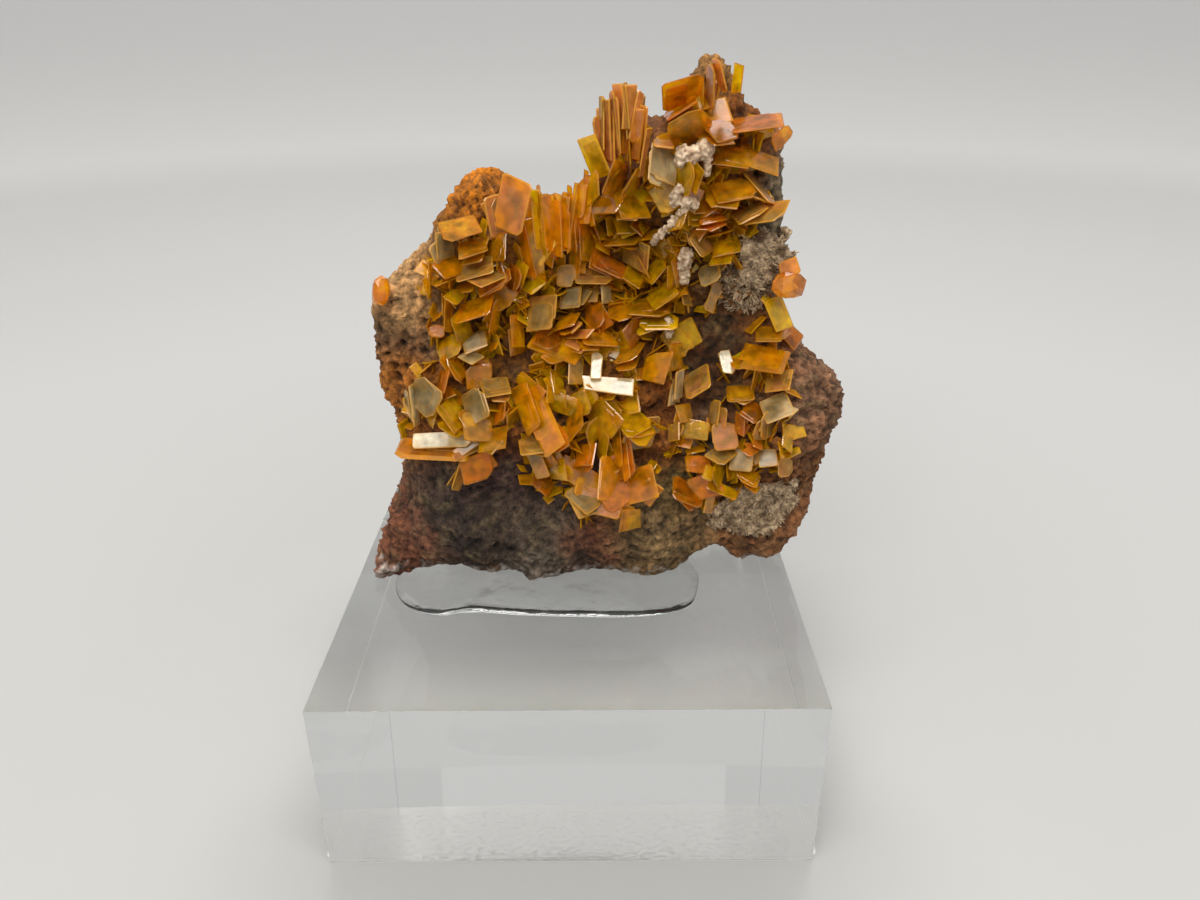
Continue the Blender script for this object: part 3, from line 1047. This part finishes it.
def bed_object(name, patch, rows, skin_mesh):
    """The part of the rock's front that a patch of small crystals grows on."""
    x, z, half_width, half_height = patch
    facing_viewer = []
    for row in rows:
        out = tablet_axes(*row[4:7])[2]
        if abs(out.y) > 0.3:
            facing_viewer.append((row[0], row[1], 0.36 * max(row[2], row[3])))
    bm = bmesh.new()
    bm.from_mesh(skin_mesh)
    dropped = []
    for face in bm.faces:
        spot = face.calc_center_median() / MM
        reach = math.hypot((spot.x - x) / (half_width + 0.6), (spot.z - z) / (half_height + 0.6))
        covered = any(math.hypot(spot.x - px, spot.z - pz) < room
                      for px, pz, room in facing_viewer + BARE_ROCK * bool(rows))
        if (reach > 1.0 or spot.y > 4.0 or face.normal.y > -0.3 * bool(rows) or covered
                or (rows and not rock_behind(spot.x, spot.z, 1.8))):
            dropped.append(face)
    bmesh.ops.delete(bm, geom=dropped, context="FACES")
    mesh = bpy.data.meshes.new(name + "_bed")
    bm.to_mesh(mesh)
    bm.free()
    return new_object(name + "_bed", mesh)


def sowing_tree(name):
    """Geometry Nodes that sow copies of a small shape over a bed. Neighbours turn nearly alike, as
    in a sheaf, and each strays a little."""
    tree = bpy.data.node_groups.new(name, "GeometryNodeTree")
    face = tree.interface
    face.new_socket("Geometry", in_out="INPUT", socket_type="NodeSocketGeometry")
    face.new_socket("Shape", in_out="INPUT", socket_type="NodeSocketObject")
    face.new_socket("Density", in_out="INPUT", socket_type="NodeSocketFloat")
    face.new_socket("Smallest", in_out="INPUT", socket_type="NodeSocketVector")
    face.new_socket("Largest", in_out="INPUT", socket_type="NodeSocketVector")
    face.new_socket("Lowest Tone", in_out="INPUT", socket_type="NodeSocketFloat")
    face.new_socket("Highest Tone", in_out="INPUT", socket_type="NodeSocketFloat")
    face.new_socket("Tilt", in_out="INPUT", socket_type="NodeSocketFloat")
    face.new_socket("Seed", in_out="INPUT", socket_type="NodeSocketInt")
    face.new_socket("Material", in_out="INPUT", socket_type="NodeSocketMaterial")
    face.new_socket("Geometry", in_out="OUTPUT", socket_type="NodeSocketGeometry")
    nodes, links = tree.nodes, tree.links
    inlet = nodes.new("NodeGroupInput")
    outlet = nodes.new("NodeGroupOutput")
    sow = nodes.new("GeometryNodeDistributePointsOnFaces")
    shape = nodes.new("GeometryNodeObjectInfo")
    stand = nodes.new("FunctionNodeAlignRotationToVector")
    stand.axis = "Z"
    drift = nodes.new("ShaderNodeTexNoise")
    drift.inputs["Scale"].default_value = SHEAF_SCALE
    drift.inputs["Detail"].default_value = 0.0
    centred = nodes.new("ShaderNodeVectorMath")
    centred.operation = "SUBTRACT"
    centred.inputs[1].default_value = (0.5, 0.5, 0.5)
    reach = nodes.new("ShaderNodeMath")
    reach.operation = "MULTIPLY"
    reach.inputs[1].default_value = 5.0
    swing = nodes.new("ShaderNodeCombineXYZ")
    swing.inputs["Z"].default_value = 5.0 * math.pi
    bend = nodes.new("ShaderNodeVectorMath")
    bend.operation = "MULTIPLY"
    stray = nodes.new("FunctionNodeRandomValue")
    stray.data_type = "FLOAT_VECTOR"
    stray.inputs["Min"].default_value = (-0.3, -0.3, -0.45)
    stray.inputs["Max"].default_value = (0.3, 0.3, 0.45)
    turn = nodes.new("ShaderNodeVectorMath")
    turn.operation = "ADD"
    twist = nodes.new("FunctionNodeRotateRotation")
    twist.rotation_space = "LOCAL"
    size = nodes.new("FunctionNodeRandomValue")
    size.data_type = "FLOAT_VECTOR"
    plant = nodes.new("GeometryNodeInstanceOnPoints")
    tone = nodes.new("FunctionNodeRandomValue")
    frost = nodes.new("FunctionNodeRandomValue")
    frost.inputs["Min"].default_value = 0.05
    frost.inputs["Max"].default_value = 0.28
    keep_tone = nodes.new("GeometryNodeStoreNamedAttribute")
    keep_frost = nodes.new("GeometryNodeStoreNamedAttribute")
    for keep, attribute in ((keep_tone, "tone"), (keep_frost, "frost")):
        keep.domain = "INSTANCE"
        keep.inputs["Name"].default_value = attribute
    real = nodes.new("GeometryNodeRealizeInstances")
    paint = nodes.new("GeometryNodeSetMaterial")
    links.new(inlet.outputs["Geometry"], sow.inputs["Mesh"])
    links.new(inlet.outputs["Density"], sow.inputs["Density"])
    links.new(inlet.outputs["Seed"], sow.inputs["Seed"])
    links.new(inlet.outputs["Shape"], shape.inputs["Object"])
    links.new(sow.outputs["Normal"], stand.inputs["Vector"])
    links.new(drift.outputs["Color"], centred.inputs[0])
    links.new(inlet.outputs["Tilt"], reach.inputs[0])
    links.new(reach.outputs[0], swing.inputs["X"])
    links.new(reach.outputs[0], swing.inputs["Y"])
    links.new(centred.outputs[0], bend.inputs[0])
    links.new(swing.outputs[0], bend.inputs[1])
    links.new(inlet.outputs["Seed"], stray.inputs["Seed"])
    links.new(bend.outputs[0], turn.inputs[0])
    links.new(stray.outputs["Value"], turn.inputs[1])
    links.new(stand.outputs["Rotation"], twist.inputs["Rotation"])
    links.new(turn.outputs[0], twist.inputs["Rotate By"])
    links.new(inlet.outputs["Smallest"], size.inputs["Min"])
    links.new(inlet.outputs["Largest"], size.inputs["Max"])
    links.new(sow.outputs["Points"], plant.inputs["Points"])
    links.new(shape.outputs["Geometry"], plant.inputs["Instance"])
    links.new(twist.outputs["Rotation"], plant.inputs["Rotation"])
    links.new(size.outputs["Value"], plant.inputs["Scale"])
    links.new(inlet.outputs["Lowest Tone"], tone.inputs[2])
    links.new(inlet.outputs["Highest Tone"], tone.inputs[3])
    links.new(plant.outputs["Instances"], keep_tone.inputs["Geometry"])
    links.new(tone.outputs[1], keep_tone.inputs["Value"])
    links.new(keep_tone.outputs["Geometry"], keep_frost.inputs["Geometry"])
    links.new(frost.outputs[1], keep_frost.inputs["Value"])
    links.new(keep_frost.outputs["Geometry"], real.inputs["Geometry"])
    links.new(real.outputs["Geometry"], paint.inputs["Geometry"])
    links.new(inlet.outputs["Material"], paint.inputs["Material"])
    links.new(paint.outputs["Geometry"], outlet.inputs["Geometry"])
    return tree


def sown(bed, tree, **settings):
    """Runs the sowing tree on a bed and returns the realized mesh."""
    sowing = bed.modifiers.new("sowing", "NODES")
    sowing.node_group = tree
    for item in tree.interface.items_tree:
        key = item.name.lower().replace(" ", "_")
        if item.in_out == "INPUT" and key in settings:
            sowing[item.identifier] = settings[key]
    mesh = baked(bed)
    bpy.data.objects.remove(bed, do_unlink=True)
    return mesh


def joined_mesh(name, meshes, kept=()):
    """The meshes as one, with the named attributes of their points."""
    bm = bmesh.new()
    for mesh in meshes:
        bm.from_mesh(mesh)
    joined = bpy.data.meshes.new(name)
    bm.to_mesh(joined)
    bm.free()
    for attribute in kept:
        values = np.concatenate([point_values(mesh, attribute) for mesh in meshes])
        if attribute in joined.attributes:
            joined.attributes.remove(joined.attributes[attribute])
        joined.attributes.new(attribute, "FLOAT", "POINT").data.foreach_set("value", values)
    return joined


def point_values(mesh, attribute):
    values = np.zeros(len(mesh.vertices), dtype=np.float32)
    mesh.attributes[attribute].data.foreach_get("value", values)
    return values


def wulfenite_material(name, see_through, scattering, faintest, deepest):
    """Translucent lead molybdate: tone and frosting come with each crystal, paler at its rim."""
    material, tree, shader = plain_material(name)
    nodes, links = tree.nodes, tree.links
    where = nodes.new("ShaderNodeTexCoord")
    tone = nodes.new("ShaderNodeAttribute")
    tone.attribute_name = "tone"
    frost = nodes.new("ShaderNodeAttribute")
    frost.attribute_name = "frost"
    rim = nodes.new("ShaderNodeAttribute")
    rim.attribute_name = "rim"
    run = nodes.new("ShaderNodeValToRGB")
    elements = run.color_ramp.elements
    for place, colour in TONE_RUN[1:-1]:
        elements.new(place)
    for element, (place, colour) in zip(elements, TONE_RUN):
        element.position = place
        element.color = (*to_linear(colour), 1.0)
    zoned = nodes.new("ShaderNodeTexNoise")
    zoned.inputs["Scale"].default_value = 330.0
    zoned.inputs["Detail"].default_value = 2.0
    zone_shift = nodes.new("ShaderNodeMapRange")
    zone_shift.inputs["From Min"].default_value = 0.3
    zone_shift.inputs["From Max"].default_value = 0.7
    zone_shift.inputs["To Min"].default_value = -0.07
    zone_shift.inputs["To Max"].default_value = 0.07
    own_tone = nodes.new("ShaderNodeMath")
    own_tone.operation = "ADD"
    cloudy = nodes.new("ShaderNodeTexNoise")
    cloudy.inputs["Scale"].default_value = 700.0
    cloudy.inputs["Detail"].default_value = 5.0
    depth = nodes.new("ShaderNodeMapRange")
    depth.inputs["From Min"].default_value = 0.3
    depth.inputs["From Max"].default_value = 0.7
    depth.inputs["To Min"].default_value = faintest
    depth.inputs["To Max"].default_value = deepest
    shaded = nodes.new("ShaderNodeVectorMath")
    shaded.operation = "SCALE"
    pale = nodes.new("ShaderNodeMix")
    pale.data_type = "RGBA"
    pale.inputs["B"].default_value = (*to_linear((255, 176, 14)), 1.0)
    edge_share = nodes.new("ShaderNodeMath")
    edge_share.operation = "MULTIPLY"
    edge_share.inputs[1].default_value = 0.75
    fine = nodes.new("ShaderNodeTexNoise")
    fine.inputs["Scale"].default_value = 4200.0
    fine.inputs["Detail"].default_value = 4.0
    etch = nodes.new("ShaderNodeBump")
    etch.inputs["Strength"].default_value = 0.25
    etch.inputs["Distance"].default_value = 0.00006
    links.new(where.outputs["Object"], cloudy.inputs["Vector"])
    links.new(where.outputs["Object"], fine.inputs["Vector"])
    links.new(where.outputs["Object"], zoned.inputs["Vector"])
    links.new(zoned.outputs["Fac"], zone_shift.inputs["Value"])
    links.new(zone_shift.outputs["Result"], own_tone.inputs[0])
    links.new(tone.outputs["Fac"], own_tone.inputs[1])
    links.new(own_tone.outputs[0], run.inputs["Fac"])
    links.new(cloudy.outputs["Fac"], depth.inputs["Value"])
    links.new(run.outputs["Color"], shaded.inputs[0])
    links.new(depth.outputs["Result"], shaded.inputs["Scale"])
    links.new(rim.outputs["Fac"], edge_share.inputs[0])
    links.new(edge_share.outputs[0], pale.inputs["Factor"])
    links.new(shaded.outputs[0], pale.inputs["A"])
    links.new(pale.outputs["Result"], shader.inputs["Base Color"])
    links.new(frost.outputs["Fac"], shader.inputs["Roughness"])
    links.new(fine.outputs["Fac"], etch.inputs["Height"])
    links.new(etch.outputs["Normal"], shader.inputs["Normal"])
    shader.inputs["Transmission Weight"].default_value = see_through
    shader.inputs["IOR"].default_value = 1.5
    shader.inputs["Subsurface Weight"].default_value = scattering
    shader.inputs["Subsurface Radius"].default_value = (1.0, 0.8, 0.5)
    shader.inputs["Subsurface Scale"].default_value = 0.001
    return material


amber_wulfenite = wulfenite_material("amber_wulfenite", 0.78, 0.0, 0.6, 1.4)
frosted_wulfenite = wulfenite_material("frosted_wulfenite", 0.55, 0.3, 0.5, 1.15)
sowing = sowing_tree("sow_small_crystals")
seedling = small_tablet()
for number, (name, (patch, density, rows)) in enumerate(PATCHES.items()):
    chance = random.Random(40 + number)
    if name in BLADE_RUNS:
        rows = rows + blade_run(*BLADE_RUNS[name], chance)
    rows = rows + further_crystals(patch, rows, chance)
    large = large_crystals(rows, chance)
    bed = bed_object(name, patch, rows, rock.data)
    blades = sown(bed, sowing, shape=seedling, density=0.5 * density / MM / MM,
                  smallest=(0.0020, 0.0012, 0.0020), largest=(0.0036, 0.0020, 0.0036),
                  lowest_tone=0.04, highest_tone=0.56, tilt=1.15, seed=7 + number,
                  material=amber_wulfenite)
    bed = bed_object(name, patch, rows, rock.data)
    small = sown(bed, sowing, shape=seedling, density=1.2 * density / MM / MM,
                 smallest=(0.0012, 0.0008, 0.0012), largest=(0.0026, 0.0014, 0.0028),
                 lowest_tone=0.0, highest_tone=0.6, tilt=1.0, seed=70 + number,
                 material=amber_wulfenite)
    cluster = new_object(name + "_crystals",
                         joined_mesh(name, (large, blades, small), ("tone", "frost", "rim")),
                         amber_wulfenite, frosted_wulfenite)
    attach(cluster, "root")
    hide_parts(name)
bpy.data.objects.remove(seedling, do_unlink=True)

# Druse: two patches of fine grey crystal needles, one under the right shoulder and one at the foot of
# the right lobe. Each is a low crust that bristles with short needles.
DRUSE_SPREAD = (22.6, 69.2, 3.4, 3.0)
DRUSE_PATCHES = {
    "druse_upper": (24.2, 72.8, 4.0, 3.8),
    "druse_lower": (25.4, 38.6, 6.2, 4.6),
}


def needle():
    """A stubby five-sided needle, 1 mm long, that stands at the origin."""
    bm = bmesh.new()
    bmesh.ops.create_cone(bm, cap_ends=True, segments=5, radius1=0.16, radius2=0.05, depth=1.0,
                          matrix=Matrix.Translation((0.0, 0.0, 0.4)))
    mesh = bpy.data.meshes.new("needle")
    bm.to_mesh(mesh)
    bm.free()
    obj = bpy.data.objects.new("needle", mesh)
    bpy.context.scene.collection.objects.link(obj)
    return obj


def painted(mesh, name, low, high, size):
    """Gives each point a colour between two, in blotches of this size in mm."""
    paint = mesh.color_attributes.new(name, "FLOAT_COLOR", "POINT")
    first, second = Vector(to_linear(low)), Vector(to_linear(high))
    for vert in mesh.vertices:
        blotch = noise.fractal(vert.co / (size * MM), 0.9, 2.1, 4) * 0.9 + 0.5
        colour = first.lerp(second, min(max(blotch, 0.0), 1.0))
        paint.data[vert.index].color = (*colour, 1.0)


grey_druse = stony_material("grey_druse", "druse_colour", 0.5, 0.4, 0.8, 0.15, 0.6)
thorn = needle()
for number, (name, patch) in enumerate(DRUSE_PATCHES.items()):
    crust = new_object(name + "_crust", merged_copy(name))
    even = crust.modifiers.new("even_skin", "REMESH")
    even.mode = "VOXEL"
    even.voxel_size = 0.3 * MM
    worn = crust.modifiers.new("worn", "SMOOTH")
    worn.iterations = 6
    baked(crust)
    for vert in crust.data.vertices:
        spot = vert.co / MM
        vert.co += vert.normal * noise.fractal(spot * 0.9, 0.8, 2.2, 4) * 0.45 * MM
    bed = bed_object(name, patch, [], crust.data)
    bristles = sown(bed, sowing, shape=thorn, density=4.5 / MM / MM, smallest=(0.0007, 0.0007, 0.0004),
                    largest=(0.0014, 0.0014, 0.0008), lowest_tone=0.0, highest_tone=1.0, tilt=0.9,
                    seed=31 + number, material=grey_druse)
    grown = [crust.data, bristles]
    if name == "druse_upper":
        bed = bed_object(name, DRUSE_SPREAD, [], rock.data)
        grown.append(sown(bed, sowing, shape=thorn, density=7.0 / MM / MM,
                          smallest=(0.0008, 0.0008, 0.0004), largest=(0.0016, 0.0016, 0.0008),
                          lowest_tone=0.0, highest_tone=1.0, tilt=0.9, seed=51,
                          material=grey_druse))
    druse = new_object(name + "_needles", joined_mesh(name, grown), grey_druse)
    bpy.data.objects.remove(crust, do_unlink=True)
    painted(druse.data, "druse_colour", (96, 74, 50), (184, 160, 128), 1.2)
    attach(druse, "root")
    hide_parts(name)
bpy.data.objects.remove(thorn, do_unlink=True)

# Coated sticks: a few crystals near the peak are wholly coated with pale grey grains, so that they
# look like short crumbly sticks. Each is a run of small lumps grown into one another.
COATED_STICKS = {
    "long_stick": ((14.6, 80.6), (10.7, 75.3), 0.42),
    "upper_lump": ((13.3, 85.6), (16.2, 86.9), 1.0),
    "side_post": ((16.7, 86.7), (16.4, 84.3), 0.4),
    "fork": ((12.8, 80.6), (13.4, 82.8), 0.6),
    "fork_arm": ((13.4, 81.1), (15.4, 80.7), 0.62),
    "middle_stick": ((14.9, 74.0), (14.5, 70.5), 0.85),
    "low_stub": ((12.9, 65.4), (13.2, 63.5), 0.65),
}


def coated_mesh():
    chance = random.Random(12)
    bm = bmesh.new()
    for (x0, z0), (x1, z1), thickness in COATED_STICKS.values():
        steps = max(4, int(math.hypot(x1 - x0, z1 - z0) / (thickness * 0.7)))
        for step in range(steps + 1):
            share = step / steps
            x, z = x0 + (x1 - x0) * share, z0 + (z1 - z0) * share
            hit = cad_skin.ray_cast(Vector((x * MM, -0.06, z * MM)), Vector((0.0, 1.0, 0.0)))[0]
            y = (hit.y / MM if hit else -4.0) - 3.3
            wander = Vector([chance.uniform(-0.25, 0.25) for _ in range(3)])
            radius = thickness * chance.uniform(0.7, 1.15)
            place = Matrix.Translation((Vector((x, y, z)) + wander) * MM)
            bmesh.ops.create_icosphere(bm, subdivisions=2, radius=radius * MM, matrix=place)
    mesh = bpy.data.meshes.new("coated_sticks")
    bm.to_mesh(mesh)
    bm.free()
    return mesh


pale_coating = stony_material("pale_coating", "druse_colour", 0.4, 0.3, 0.3, 0.1, 0.95)
coated = new_object("coated_sticks", coated_mesh())
even = coated.modifiers.new("even_skin", "REMESH")
even.mode = "VOXEL"
even.voxel_size = 0.14 * MM
baked(coated)
for vert in coated.data.vertices:
    spot = vert.co / MM
    vert.co += vert.normal * noise.fractal(spot * 2.4, 0.8, 2.2, 4) * 0.3 * MM
painted(coated.data, "druse_colour", (138, 108, 80), (218, 194, 164), 0.7)
coated.data.materials.append(pale_coating)
coated.data.polygons.foreach_set("use_smooth", [True] * len(coated.data.polygons))
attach(coated, "root")
